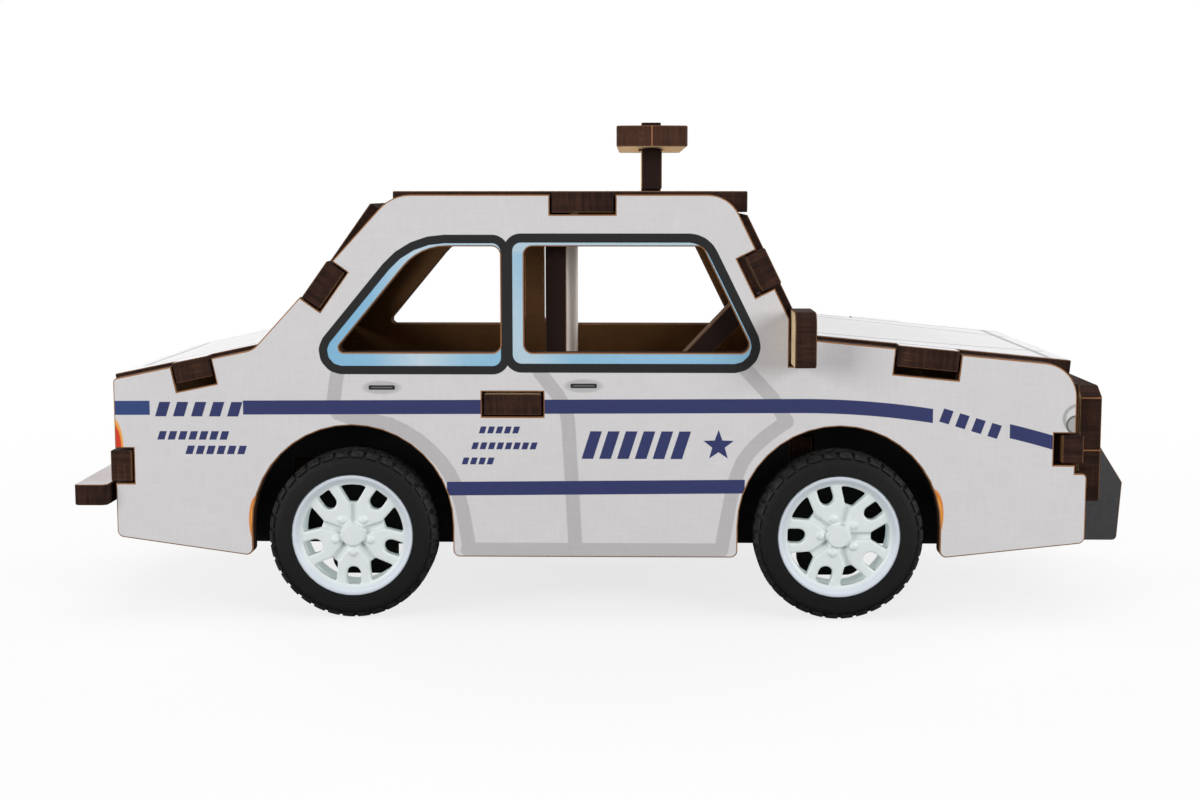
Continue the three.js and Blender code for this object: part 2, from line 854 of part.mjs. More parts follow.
function tyreGeometry() {
  const bead = rimRadius + beadGap;
  const face = tyreWidth / 2;
  const shoulder = face - sidewallRound;
  const front = [
    [tyreRadius, shoulder],
    [tyreRadius - sidewallRound / 4, face - sidewallRound / 2],
    [tyreRadius - sidewallRound, face],
    [bead + sidewallRound / 2, face],
    [bead, face - sidewallRound / 2],
  ];
  const back = front.map(([radius, z]) => [radius, -z]).reverse();
  return toGeometry(toSolid(turned([...front, ...back])));
}

// One axle with its two wheels, all turning together
function axleSet(end, x, turn) {
  const set = new THREE.Group();
  set.position.set(x, 0, axleZ);
  set.rotation.y = rad(turn);
  const axle = toGeometry(toSolid(disc(axleDiameter, -axleHalf, axleHalf)));
  const pin = piece(`${end}_axle`, axle, axleSteel, 0.3, 1);
  pin.rotation.x = Math.PI / 2;
  set.add(pin);
  [['right', 1], ['left', -1]].forEach(([side, sign]) => {
    const wheel = new THREE.Group();
    wheel.position.y = -sign * wheelMiddle;
    wheel.rotation.x = (sign * Math.PI) / 2;
    wheel.add(piece(`${end}_${side}_rim`, rimGeometry(), rimWhite, 0.35));
    wheel.add(piece(`${end}_${side}_tyre`, tyreGeometry(), rubberBlack, 0.85));
    set.add(wheel);
  });
  return set;
}

const car = new THREE.Group();
const roofSlot = slotAt(postX - roofRearX, 0, ...postSlot);
car.add(sidePanel('right_side_panel', -halfWidth + board));
car.add(sidePanel('left_side_panel', halfWidth));
car.add(crossBoard('roof_panel', printTop, tabbed.roof, tabbedPlan(tabbed.roof), [roofSlot]));
car.add(framedBoard('windscreen_panel', tabbed.windscreen, windscreenFrame));
car.add(framedBoard('rear_window_panel', tabbed.back, backFrame));
car.add(crossBoard('boot_lid', printTop, tabbed.boot, tabbedPlan(tabbed.boot)));
car.add(crossBoard('bonnet', printTop, tabbed.bonnet, tabbedPlan(tabbed.bonnet)));
car.add(crossBoard('nose_panel', printWhite, tabbed.nose, tabbedPlan(tabbed.nose), tongueSlots(noseTop)));
car.add(grillePlate());
car.add(pushBar('push_bar_right', -pushBarOffset));
car.add(pushBar('push_bar_left', pushBarOffset));
car.add(tailPanel());
car.add(rearBumper());
car.add(mirrorBoard());
car.add(partition());
car.add(dashStrut());
car.add(lightBar());
car.add(lightBarPost());
car.add(floorDeck());
car.add(chassisRail('chassis_rail_right', -railMiddle));
car.add(chassisRail('chassis_rail_left', railMiddle));
crossPlates.forEach((plate) => car.add(crossPlate(plate)));
car.add(axleSet('rear', rearAxleX, 0));
car.add(axleSet('front', frontAxleX, frontWheelTurn));

// The origin lies on the ground under the middle of the car's whole length.
const frontReach = grilleFace + fitGap + pushBarReach;
const rearReach = bumperBackX - bumperBow;
car.position.set(-(frontReach + rearReach) / 2, 0, tyreRadius - axleZ);

export default car;
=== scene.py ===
# %% [markdown]
# A toy patrol car is slotted together from boards of 3 mm plywood, and it rolls on plastic wheels.
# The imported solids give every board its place. The scene dresses each board: it softens the cut
# edges, prints the outer faces and scorches the sides that the laser cut. Nothing is moved, so the
# dressed car has the size of the solids.

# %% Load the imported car
import math
import bpy
from mathutils import Matrix, Vector


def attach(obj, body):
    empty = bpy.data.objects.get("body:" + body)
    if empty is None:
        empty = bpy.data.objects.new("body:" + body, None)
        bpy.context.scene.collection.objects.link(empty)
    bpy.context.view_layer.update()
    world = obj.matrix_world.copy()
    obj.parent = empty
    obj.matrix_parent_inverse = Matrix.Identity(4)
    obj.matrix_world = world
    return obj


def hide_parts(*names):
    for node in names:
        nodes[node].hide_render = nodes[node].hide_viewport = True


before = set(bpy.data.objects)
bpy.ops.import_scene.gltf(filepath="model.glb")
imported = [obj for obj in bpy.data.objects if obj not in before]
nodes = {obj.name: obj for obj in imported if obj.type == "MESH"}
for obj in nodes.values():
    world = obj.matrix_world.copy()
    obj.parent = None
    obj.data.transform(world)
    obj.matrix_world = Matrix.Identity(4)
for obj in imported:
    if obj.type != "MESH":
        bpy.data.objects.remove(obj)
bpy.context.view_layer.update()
MM = 0.001

# %% [markdown]
# Every finish here is a small net of nodes. Written by hand, a net is long and hard to read, so one
# class stands for a socket: adding or multiplying two sockets places the Math node for it. All other
# nodes come from one method, which sets a node's settings first and its sockets after that.

# %% A socket that can be reckoned with
class Socket:
    def __init__(self, tree, link=None):
        self.tree = tree
        self.link = link

    def node(self, kind, sockets=None, output=0, stops=None, **settings):
        made = self.tree.nodes.new(kind)
        for name, value in settings.items():
            setattr(made, name, value)
        for index, (position, colour) in enumerate(stops or []):
            ramp = made.color_ramp.elements
            stop = ramp[index] if index < 2 else ramp.new(position)
            stop.position = position
            stop.color = colour
        for key, value in (sockets or {}).items():
            if isinstance(value, Socket):
                self.tree.links.new(value.link, made.inputs[key])
            else:
                made.inputs[key].default_value = value
        return Socket(self.tree, made.outputs[output] if made.outputs else None)

    def outputs(self):
        return [Socket(self.tree, link) for link in self.link.node.outputs]

    def maths(self, operation, *others):
        entries = dict(enumerate((self, *others)))
        return self.node("ShaderNodeMath", entries, operation=operation)

    def __add__(self, other):
        return self.maths("ADD", other)

    __radd__ = __add__

    def __mul__(self, other):
        return self.maths("MULTIPLY", other)

    __rmul__ = __mul__

    def __sub__(self, other):
        return self.maths("SUBTRACT", other)

    def __rsub__(self, other):
        return self.node("ShaderNodeMath", {0: other, 1: self}, operation="SUBTRACT")

    def __truediv__(self, other):
        return self.maths("DIVIDE", other)

    def __abs__(self):
        return self.maths("ABSOLUTE")

    def clip(self):
        return self.node("ShaderNodeClamp", {0: self})

    def under(self, limit, soft=0.06):
        return (limit - self).maths("MULTIPLY_ADD", 1 / soft, 0.5).clip()

    def over(self, limit, soft=0.06):
        return (self - limit).maths("MULTIPLY_ADD", 1 / soft, 0.5).clip()

    def dot(self, axis):
        return self.node("ShaderNodeVectorMath", {0: self, 1: axis}, 1, operation="DOT_PRODUCT")

    def vector(self, operation, other):
        return self.node("ShaderNodeVectorMath", {0: self, 1: other}, operation=operation)

    def paint(self, under, upper, mask):
        entries = {0: mask, 6: under, 7: upper}
        return self.node("ShaderNodeMix", entries, 2, data_type="RGBA")

    def noise(self, scale, detail=3, roughness=0.6):
        entries = {"Vector": self, "Scale": scale, "Detail": detail, "Roughness": roughness}
        return self.node("ShaderNodeTexNoise", entries)

    def millimetres(self):
        return self.node("ShaderNodeVectorMath", {0: self, "Scale": 1 / MM}, operation="SCALE")

    def bump(self, strength, depth):
        entries = {"Strength": strength, "Distance": depth, "Height": self}
        return self.node("ShaderNodeBump", entries)


def ink(red, green, blue):
    steps = [part / 255 for part in (red, green, blue)]
    linear = [part / 12.92 if part < 0.04 else ((part + 0.055) / 1.055) ** 2.4 for part in steps]
    return (*linear, 1)


def new_finish(name):
    material = bpy.data.materials.new(name)
    material.use_nodes = True
    material.node_tree.nodes.clear()
    return material, Socket(material.node_tree)


def cover(start, entries):
    shader = start.node("ShaderNodeBsdfPrincipled", entries)
    start.node("ShaderNodeOutputMaterial", {"Surface": shader})


print("white ink is", [round(part, 3) for part in ink(255, 255, 255)])

# %% [markdown]
# The car stands on a white table in even light, and its picture has no horizon. A floor with a
# backdrop curve could do that. Here the floor is a disc that glows white to the camera towards its
# edge, like the world behind it, so it keeps the soft shadow under the car and no seam shows. Softboxes
# at the four corners light all sides alike, and little light comes from the floor and the sky, because
# the cabin and the wheel arches are dark inside.

# %% Floor
def only(*objects):
    if bpy.context.mode != "OBJECT":
        bpy.ops.object.mode_set(mode="OBJECT")
    bpy.ops.object.select_all(action="DESELECT")
    for thing in objects:
        thing.select_set(True)
        bpy.context.view_layer.objects.active = thing


FADE_RADIUS = 0.16
FADE_WIDTH = 0.2
SHADOW_SHARE = 0.22
only()
bpy.ops.mesh.primitive_circle_add(vertices=96, radius=1.5, fill_type="NGON")
floor = bpy.context.object
floor.name = "studio_floor"
paint_floor, start = new_finish("studio_white")
spot = start.node("ShaderNodeTexCoord", output="Object")
reach = spot.node("ShaderNodeVectorMath", {0: spot}, 1, operation="LENGTH")
fade = reach.under(FADE_RADIUS, FADE_WIDTH)
matt = start.node("ShaderNodeBsdfDiffuse", {"Color": (0.9, 0.9, 0.9, 1)})
glow = start.node("ShaderNodeEmission", {"Color": (1, 1, 1, 1), "Strength": 1})
pale = start.node("ShaderNodeMixShader", {0: fade * SHADOW_SHARE, 1: glow, 2: matt})
bounce = start.node("ShaderNodeBsdfDiffuse", {"Color": (0.3, 0.3, 0.3, 1)})
sight = start.node("ShaderNodeLightPath")
shown = start.node("ShaderNodeMixShader", {0: sight, 1: bounce, 2: pale})
start.node("ShaderNodeOutputMaterial", {"Surface": shown})
floor.data.materials.append(paint_floor)
print("floor reaches", round(floor.dimensions.x / 2, 2), "m from the car")

# %% World and lamps
scene = bpy.context.scene
scene.view_settings.view_transform = "Standard"
scene.world = bpy.data.worlds.new("white_studio")
scene.world.use_nodes = True
scene.world.node_tree.nodes.clear()
sky = Socket(scene.world.node_tree)
AMBIENT = 0.12
rays = sky.node("ShaderNodeLightPath")
seen = rays + Socket(rays.tree, rays.link.node.outputs["Is Glossy Ray"])
seen = seen + Socket(rays.tree, rays.link.node.outputs["Is Transmission Ray"])
strength = seen.clip() * (1 - AMBIENT) + AMBIENT
lit = sky.node("ShaderNodeBackground", {"Color": (1, 1, 1, 1), "Strength": strength})
sky.node("ShaderNodeOutputWorld", {"Surface": lit})


def softbox(name, place, size, power):
    bpy.ops.object.light_add(type="AREA", location=place)
    lamp = bpy.context.object
    lamp.name = name
    lamp.data.size = size
    lamp.data.energy = power
    lamp.rotation_euler = (Vector((0, 0, 0.03)) - Vector(place)).to_track_quat("-Z", "Y").to_euler()
    return lamp


CORNER_X = 0.75
CORNER_Y = 0.6
CORNER_HEIGHT = 0.25
CORNER_SIZE = 0.45
CORNER_POWER = 6.8
softbox("overhead_softbox", (0, 0, 0.8), 0.7, 2.3)
for side, y in (("right", -CORNER_Y), ("left", CORNER_Y)):
    softbox(side + "_front_softbox", (CORNER_X, y, CORNER_HEIGHT), CORNER_SIZE, CORNER_POWER)
    softbox(side + "_rear_softbox", (-CORNER_X, y, CORNER_HEIGHT), CORNER_SIZE, CORNER_POWER)
print("the world gives", AMBIENT, "of the light on a white card")

# %% [markdown]
# The photograph looks at the car's right side from a little above the sill, close enough that the
# wheels on the far side show smaller. The lens and the place were measured from the wheels and the
# board edges, so the camera repeats them and needs no shift.

# %% Camera
CAMERA_PLACE = (3.9 * MM, -286.944 * MM, 61.651 * MM)
CAMERA_DIP = 6.614
CAMERA_TURN = 1.107
bpy.ops.object.camera_add(
    location=CAMERA_PLACE,
    rotation=(math.radians(90 - CAMERA_DIP), 0, math.radians(CAMERA_TURN)),
)
camera = bpy.context.object
camera.data.sensor_fit = "HORIZONTAL"
camera.data.sensor_width = 36
camera.data.lens = 54.33
camera.data.clip_start = 0.01
scene.camera = camera
print("camera stands", round(camera.location.length / MM), "mm from the middle of the car")

# %% [markdown]
# A laser leaves a sharp edge, and sanding takes off a hair of it. Each board is a copy of its solid:
# its loose triangles are merged and joined into whole faces, and its sharp edges get a bevel of an
# eighth of a millimetre. On the two large sides a bevel would be held back by the cuts between their
# many openings. Their broad faces are inset instead, and the old outline is pressed in a little.

# %% Softened boards
CHAMFER = 0.13 * MM
SIDE_CHAMFER = 0.18 * MM
SHARP_EDGE = math.radians(40)
SMOOTH_EDGE = math.radians(30)


def copy_of(name, suffix):
    mesh = nodes[name].data.copy()
    mesh.materials.clear()
    board = bpy.data.objects.new(name + suffix, mesh)
    scene.collection.objects.link(board)
    only(board)
    bpy.ops.object.mode_set(mode="EDIT")
    bpy.ops.mesh.select_mode(type="EDGE")
    bpy.ops.mesh.select_all(action="SELECT")
    bpy.ops.mesh.remove_doubles(threshold=0.001 * MM)
    bpy.ops.mesh.dissolve_limited(angle_limit=math.radians(1))
    bpy.ops.mesh.customdata_custom_splitnormals_clear()
    bpy.ops.mesh.select_all(action="DESELECT")
    bpy.ops.object.mode_set(mode="OBJECT")
    return board


def bevel_edges(width):
    bpy.ops.object.mode_set(mode="EDIT")
    bpy.ops.mesh.edges_select_sharp(sharpness=SHARP_EDGE)
    bpy.ops.mesh.bevel(offset=width, segments=1, loop_slide=False, clamp_overlap=True)
    bpy.ops.object.mode_set(mode="OBJECT")
    bpy.ops.object.shade_smooth_by_angle(angle=SMOOTH_EDGE)


def press_outline(board, width):
    bpy.ops.object.mode_set(mode="EDIT")
    bpy.ops.mesh.select_mode(type="FACE")
    bpy.ops.object.mode_set(mode="OBJECT")
    for face in board.data.polygons:
        face.select = abs(face.normal.y) > 0.99
    bpy.ops.object.mode_set(mode="EDIT")
    bpy.ops.mesh.inset(thickness=width, use_even_offset=True)
    bpy.ops.object.mode_set(mode="OBJECT")
    walls = [face for face in board.data.polygons if abs(face.normal.y) < 0.01]
    outline = {index for face in walls for index in face.vertices}
    middle = sum(corner.co.y for corner in board.data.vertices) / len(board.data.vertices)
    for index in outline:
        spot = board.data.vertices[index].co
        spot.y -= math.copysign(width, spot.y - middle)
    bpy.ops.object.shade_smooth_by_angle(angle=SMOOTH_EDGE)


def broad_side(board, hint):
    broadest = max(board.data.polygons, key=lambda face: face.area)
    axis = broadest.normal.copy()
    if axis.dot(Vector(hint)) < 0:
        axis.negate()
    level = max(corner.co.dot(axis) for corner in board.data.vertices)
    return axis, level


BOARD_HINTS = {
    "right_side_panel": (0, -1, 0),
    "left_side_panel": (0, 1, 0),
    "roof_panel": (0, 0, 1),
    "windscreen_panel": (1, 0, 1),
    "rear_window_panel": (-1, 0, 1),
    "boot_lid": (0, 0, 1),
    "bonnet": (0, 0, 1),
    "nose_panel": (1, 0, 0),
    "grille_plate": (1, 0, 0),
    "push_bar_right": (0, -1, 0),
    "push_bar_left": (0, 1, 0),
    "tail_panel": (-1, 0, 0),
    "rear_bumper": (0, 0, 1),
    "mirror_board": (1, 0, 0),
    "partition": (1, 0, 0),
    "dash_strut": (-1, 0, 1),
    "light_bar": (0, 0, 1),
    "light_bar_post": (1, 0, 0),
    "floor_deck": (0, 0, 1),
    "chassis_rail_right": (0, -1, 0),
    "chassis_rail_left": (0, 1, 0),
    "front_cross_plate": (1, 0, 0),
    "rear_cross_plate": (-1, 0, 0),
}
boards = {}
for name in BOARD_HINTS:
    boards[name] = copy_of(name, "_ply")
    if "side_panel" in name:
        press_outline(boards[name], SIDE_CHAMFER)
    else:
        bevel_edges(CHAMFER)
    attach(boards[name], "body")
    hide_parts(name)
print("softened", len(boards), "boards")

# %% [markdown]
# One finish serves every board, because every board is the same sandwich. The face that looks
# outwards carries the print. The other face is bare birch, or a dark brown of painted shade where it
# looks into the cabin. The thin bevel is toasted to a tan line and the cut sides are charred. The
# finish tells them apart by the surface normal, so no face has to be picked by hand.

# %% Bare veneer and charred sides
TOAST = ink(158, 112, 74)
CHAR = ink(31, 19, 16)
CHAR_PALE = ink(72, 47, 36)
GLUE = ink(130, 88, 52)
BIRCH = ink(226, 204, 168)
BIRCH_DARK = ink(194, 164, 122)
# The two browns below are painted shade for the faces that look into the car, which are bare birch.
INNER_SHADE_PALE = ink(114, 81, 48)
INNER_SHADE_DEEP = ink(72, 48, 26)
HALF_PLY = 1.5
CORE_HALF = 0.5


def grain_of(place, axis, along):
    across = Vector(axis).cross(Vector(along)).normalized()
    return place.node(
        "ShaderNodeCombineXYZ",
        {0: place.dot(along) * 0.05, 1: place.dot(across), 2: place.dot(axis) * 0.3},
    )


def veneer(place, axis, along):
    lines = grain_of(place, axis, along)
    fine = lines.noise(3.2, 4, 0.65)
    broad = lines.noise(0.5, 2)
    tone = (fine * 0.6 + broad * 0.6 - 0.2).clip()
    return place.paint(BIRCH_DARK, BIRCH, tone), fine


# Painted shade: faces that look into the car get a mottled dark brown.
def painted_inner_shade(place, fine):
    cloud = place.noise(0.12, 3)
    return place.paint(INNER_SHADE_DEEP, INNER_SHADE_PALE, (fine * 0.5 + cloud * 0.8 - 0.2).clip())


def charred(place, axis, level, pale, burns):
    depth = level / MM - place.dot(axis)
    drift = place.dot(axis) * 0.9
    along = place.node("ShaderNodeVectorMath", {0: tuple(axis), "Scale": drift}, operation="SCALE")
    flat = place.vector("SUBTRACT", along)
    streak = flat.noise(2.1, 4, 0.7)
    patch = flat.noise(0.35, 2)
    core = abs(depth - HALF_PLY).under(CORE_HALF, 0.25)
    tone = (streak * 1.5 + patch * 0.6 + core * 0.1 + (pale - 0.8)).clip()
    dark = place.paint(CHAR, CHAR_PALE, tone)
    wander = (place.noise(0.7, 2) - 0.5) * 0.3
    line = abs(abs(depth - HALF_PLY + wander) - CORE_HALF).under(0.05, 0.08)
    line = line * patch.over(0.62, 0.1)
    dark = place.paint(dark, GLUE, line * streak * max(0, 0.5 + pale))
    for way, mark in burns:
        dark = place.paint(dark, TOAST, abs(place.dot(way) - mark).under(0.09, 0.1) * 0.9)
    return dark, streak


print("bare face", [round(part, 2) for part in BIRCH[:3]])
print("cut side", [round(part, 2) for part in CHAR[:3]])

# %% The sandwich
FACE_ON = 0.93
BEVEL_ON = 0.35


def ply_finish(name, axis, level, along, front=None, back=None, toast=0.3, pale=0, burns=()):
    material, start = new_finish(name)
    coordinates = start.node("ShaderNodeTexCoord")
    normal = Socket(start.tree, coordinates.link.node.outputs["Normal"])
    metres = Socket(start.tree, coordinates.link.node.outputs["Object"])
    place = metres.millimetres()
    facing = normal.dot(tuple(axis))
    outer = facing.over(FACE_ON, 0.02)
    inner = facing.under(-FACE_ON, 0.02)
    rim = abs(facing).over(BEVEL_ON, 0.02)
    bare, fine = veneer(place, axis, along)
    burnt, streak = charred(place, axis, level, pale, burns)
    outside = front(place, fine) if front else bare
    inside = back(place, fine) if back else bare
    colour = start.paint(burnt, TOAST, rim * toast)
    colour = start.paint(colour, inside, inner)
    colour = start.paint(colour, outside, outer)
    flat = outer.maths("MAXIMUM", inner)
    smooth = 0.32 if front else 0.16
    rough = 0.86 - flat * smooth + fine * 0.1
    height = streak * (1 - flat) + fine * flat * (0.66 - smooth)
    entries = {"Base Color": colour, "Roughness": rough, "Normal": height.bump(0.5, 0.06 * MM)}
    entries["Specular IOR Level"] = 0.12
    cover(start, entries)
    return material


def dress(name, slot, along, front=None, back=None, **look):
    board = boards[name]
    axis, level = broad_side(board, BOARD_HINTS[name])
    board.data.materials.append(ply_finish(name + "_finish", axis, level, along, front, back, **look))
    print(name, "faces", [round(part, 2) for part in axis], "with", len(board.data.polygons), "faces")


RAW_GRAIN = {
    "floor_deck": (1, 0, 0),
    "front_cross_plate": (0, 1, 0),
    "rear_cross_plate": (0, 1, 0),
}
STRUT_SLOPE = (0.686, 0, 0.728)
for name, along in RAW_GRAIN.items():
    dress(name, "raw_ply", along)
dress("light_bar_post", "raw_ply", (0, 1, 0), pale=-0.5)
dress("dash_strut", "raw_ply", STRUT_SLOPE, painted_inner_shade, painted_inner_shade, pale=-0.5)

# %% [markdown]
# The print is drawn with distances. For every place on a board the nodes work out how far it lies
# from a line, an oval or a rounded window, and a mask turns that distance into ink with a crisp edge.
# An image would be simpler, but distances stay sharp at any size. All lengths are millimetres.

# %% Shapes of the print
def stroke(place, points):
    nearest = None
    for begin, end in zip(points, points[1:]):
        way = Vector(end) - Vector(begin)
        offset = place.vector("SUBTRACT", tuple(begin))
        along = offset.dot(tuple(way / way.length_squared)).clip()
        foot = place.node("ShaderNodeVectorMath", {0: tuple(way), "Scale": along}, operation="SCALE")
        gap = place.node("ShaderNodeVectorMath", {0: offset, 1: foot}, 1, operation="DISTANCE")
        nearest = gap if nearest is None else nearest.maths("MINIMUM", gap)
    return nearest


def bowed(points, steps=3):
    ends = [points[0], *points, points[-1]]
    path = []
    for before, begin, end, after in zip(ends, ends[1:], ends[2:], ends[3:]):
        for step in range(steps):
            t = step / steps
            spot = []
            for a, b, c, d in zip(before, begin, end, after):
                cubic = 3 * b - a - 3 * c + d
                square = 2 * a - 5 * b + 4 * c - d
                spot.append(b + 0.5 * t * (c - a + t * (square + t * cubic)))
            path.append(tuple(spot))
    return path + [points[-1]]


def oval(u, v, middle, radii):
    wide = (u - middle[0]) / radii[0]
    tall = (v - middle[1]) / radii[1]
    return (wide * wide + tall * tall).maths("SQRT")


def bar(u, v, middle, half):
    wide = abs(u - middle[0]) - half[0]
    tall = abs(v - middle[1]) - half[1]
    return wide.maths("SMOOTH_MAX", tall, 0.4)


def axes_of(place):
    return place.node("ShaderNodeSeparateXYZ", {0: place}).outputs()


PAPER = ink(202, 200, 201)
# The colour below is the white print made lighter as painted light on boards that face up, and the whiter
# print of the tail plate.
PAPER_LIT_TOP_AND_PLATE = ink(238, 237, 238)
SEAM = ink(176, 174, 175)
STRIPE = ink(51, 56, 97)
STRIPE_REAR = ink(51, 69, 116)
OUTLINE = ink(37, 37, 38)
print("a bowed seam of 4 points has", len(bowed([(0, 0), (1, 2), (2, 1), (3, 0)])), "points")

# %% Paper tone
def mottled(place, colour, fine):
    upright = place.vector("MULTIPLY", (1, 1, 0.08)).noise(3.4, 3, 0.7)
    level = place.vector("MULTIPLY", (0.08, 0.4, 1)).noise(3.4, 3, 0.7)
    cloud = place.noise(0.25, 3)
    tone = 0.82 + upright * 0.13 + level * 0.1 + fine * 0.06 + cloud * 0.07
    entries = {0: 1, 6: colour, 7: tone}
    return place.node("ShaderNodeMix", entries, 2, data_type="RGBA", blend_type="MULTIPLY")


def papered(place, fine, ground=PAPER):
    return mottled(place, ground, fine)


def worn(place, fine):
    scuff = (fine * 2.4 - 1.1).clip() * 0.7
    return place.paint(papered(place, fine, ink(190, 181, 174)), ink(92, 74, 60), scuff)


dress("partition", "raw_ply", (0, 0, 1), worn, painted_inner_shade, pale=-0.5)

# %% [markdown]
# The windows of the side boards are ringed twice: a light blue band next to the opening and a dark
# outline round it. Both are the same distance out from one path with rounded corners, so the outline
# keeps its width all the way round. The same rings serve both sides of the car.

# %% Window rings
def rounded(corners):
    path = []
    count = len(corners)
    for index, (x, z, radius) in enumerate(corners):
        corner = Vector((x, z))
        back = (Vector(corners[index - 1][:2]) - corner).normalized()
        ahead = (Vector(corners[(index + 1) % count][:2]) - corner).normalized()
        half = back.angle(ahead) / 2
        middle = corner + (back + ahead).normalized() * (radius / math.sin(half))
        first = corner + back * (radius / math.tan(half)) - middle
        turn = math.pi - 2 * half
        for step in range(5 if radius else 1):
            spun = first.copy()
            spun.rotate(Matrix.Rotation(turn * step / 4, 2))
            path.append(tuple(middle + spun))
    return path


def ring(flat, path):
    inside = None
    for begin, end in zip(path, path[1:] + path[:1]):
        out = Vector((end[1] - begin[1], 0, begin[0] - end[0])).normalized()
        beyond = flat.dot(tuple(out)) - out.dot(Vector((begin[0], 0, begin[1])))
        inside = beyond if inside is None else inside.maths("MAXIMUM", beyond)
    loop = [(x, 0, z) for x, z in path + path[:1]]
    outside = stroke(flat, loop)
    return outside * inside.over(0, 0.001)


QUARTER_RING = rounded([
    (-40.27, 37.7, 1.1),
    (-16.2, 37.7, 0.2),
    (-16.2, 53.15, 0.2),
    (-27.45, 53.15, 9.4),
])
FRONT_RING = rounded([
    (-12.3, 38.25, 0.1),
    (20.06, 38.25, 1.3),
    (12.72, 53.05, 2),
    (-12.3, 53.05, 0),
])
SKY = [
    (0, ink(124, 172, 202)),
    (1, ink(136, 180, 207)),
    (0.13, ink(132, 178, 206)),
    (0.24, ink(184, 202, 213)),
    (0.34, ink(142, 183, 207)),
    (0.42, ink(134, 178, 205)),
    (0.46, ink(174, 195, 208)),
    (0.5, ink(170, 194, 208)),
    (0.58, ink(136, 180, 206)),
]


QUARTER_OUTLINE = 2.22
QUARTER_BAND = 1
FRONT_OUTLINE = 2.5
FRONT_BAND = 1.2


def windows(flat, x, z, colour):
    quarter = ring(flat, QUARTER_RING)
    front = ring(flat, FRONT_RING)
    dark = quarter.under(QUARTER_OUTLINE).maths("MAXIMUM", front.under(FRONT_OUTLINE))
    blue = quarter.under(QUARTER_BAND).maths("MAXIMUM", front.under(FRONT_BAND))
    shine = x + (z - 37) * x.over(-15) * 0.4
    tint = x.node("ShaderNodeValToRGB", {0: (shine + 42) / 64}, stops=SKY)
    tint = x.paint(tint, ink(182, 197, 205), z.over(52.9, 0.8) * x.over(-22, 6) * 0.7)
    return x.paint(x.paint(colour, OUTLINE, dark), tint, blue)


print("the rings follow", len(QUARTER_RING), "and", len(FRONT_RING), "points")

# %% [markdown]
# Below the windows run the door seams in grey, two blue stripes, two door handles and the lamps that
# wrap round the corners. The seams were traced as points along their middle and bent into curves.
# Where the stripes break, slanted bars of the same blue carry them on, and the doors get plain rows of
# such bars too.

# %% Side print
DOOR_SEAMS = [
    [
        (-38.6, 0, 35.8),
        (-38.7, 0, 29.9),
        (-31.2, 0, 28.3),
        (-25.5, 0, 24.6),
        (-21.7, 0, 19.1),
        (-19.9, 0, 10.1),
    ],
    [(-9.7, 0, 35.85), (-6.1, 0, 30.7), (-5.4, 0, 24.6), (-4.6, 0, 10.1)],
    [(19.6, 0, 36.4), (23.5, 0, 32.2), (25.6, 0, 28.8)],
    [(25.6, 0, 28.8), (21.3, 0, 25.4), (18.5, 0, 20.9), (16.4, 0, 10.1)],
    [(16.4, 0, 10.1), (-20.2, 0, 10.1)],
]


def between(x, low, high):
    return x.over(low) * x.under(high)


def bars(x, z, middle, half, first, pitch, count, share=0.6, slant=0.32):
    place = (x - (z - middle) * slant - first) / pitch
    row = between(place, 0, count - 0.2) * abs(z - middle).under(half)
    return place.maths("FRACT").under(share, 0.06 / pitch) * row


def stripes(x, z):
    drop = (x - 27.4).maths("MAXIMUM", 0)
    middle = 30.91 + x * 0.005 - drop * drop * 0.0041
    line = abs(z - middle).under(1.02)
    whole = between(x, -52.3, 46.4).maths("MAXIMUM", x.over(57.35)).maths("MAXIMUM", x.under(-65.75))
    lower = abs(z - (19.19 + x * 0.01)).under(1) * between(x, -23.1, 19.7)
    return (line * whole).maths("MAXIMUM", lower)


BAR_ROWS = [
    (30.4, 1.05, -64.7, 2.6, 5, 0.62),
    (25.35, 2, -3.1, 2.55, 6, 0.66),
    (27.5, 0.5, -18.3, 1.2, 5, 0.7),
    (25.2, 0.5, -19.4, 1.2, 8, 0.7),
    (23, 0.5, -20.8, 1.2, 4, 0.7),
    (26.6, 0.62, -64.6, 1.5, 7, 0.7),
    (24.5, 0.62, -60.6, 1.5, 6, 0.7),
]


def star(x, z, middle, tip, notch):
    right = x - middle[0]
    up = z - middle[1]
    turn = right.maths("ARCTAN2", up).maths("PINGPONG", math.pi / 5)
    far = (right * right + up * up).maths("SQRT")
    way = Vector((notch * math.sin(math.pi / 5), tip - notch * math.cos(math.pi / 5))).normalized()
    edge = far * turn.maths("COSINE") * way[0] + far * turn.maths("SINE") * way[1]
    return (edge - tip * way[0]).under(0)


def marks(x, z):
    ink_mask = stripes(x, z)
    for middle, half, first, pitch, count, share in BAR_ROWS:
        row = bars(x, z, middle, half, first, pitch, count, share)
        ink_mask = ink_mask.maths("MAXIMUM", row)
    front = bars(x, z - (52 - x) * 0.3, 28.5, 1.05, 47.6, 2.3, 4)
    return ink_mask.maths("MAXIMUM", front).maths("MAXIMUM", star(x, z, (15.9, 25.3), 2.3, 0.95))


HANDLES = [(-32.3, 33.58), (-3.4, 33.87)]


def handles(x, z, colour):
    for middle in HANDLES:
        grip = bar(x, z, middle, (1.9, 0.33))
        colour = x.paint(colour, SEAM, oval(x, z, middle, (2.7, 0.95)).under(1, 0.3))
        colour = x.paint(colour, OUTLINE, grip.under(0))
        colour = x.paint(colour, ink(96, 96, 98), bar(x, z, middle, (1.6, 0.1)).under(0, 0.12))
    return colour


def lens(x, z, colour, middle, radii, rim, glass):
    edge = oval(x, z, middle, radii)
    colour = x.paint(colour, rim, edge.under(1, 0.1))
    return x.paint(colour, glass, edge.under(0.8, 0.12))


AMBER = ink(224, 156, 74)
AMBER_DEEP = ink(207, 126, 52)
LAMP_RED = ink(198, 62, 42)
LAMP_CLEAR = ink(196, 200, 206)
LAMP_GREY = ink(158, 158, 156)
LAMP_DARK = ink(96, 95, 92)


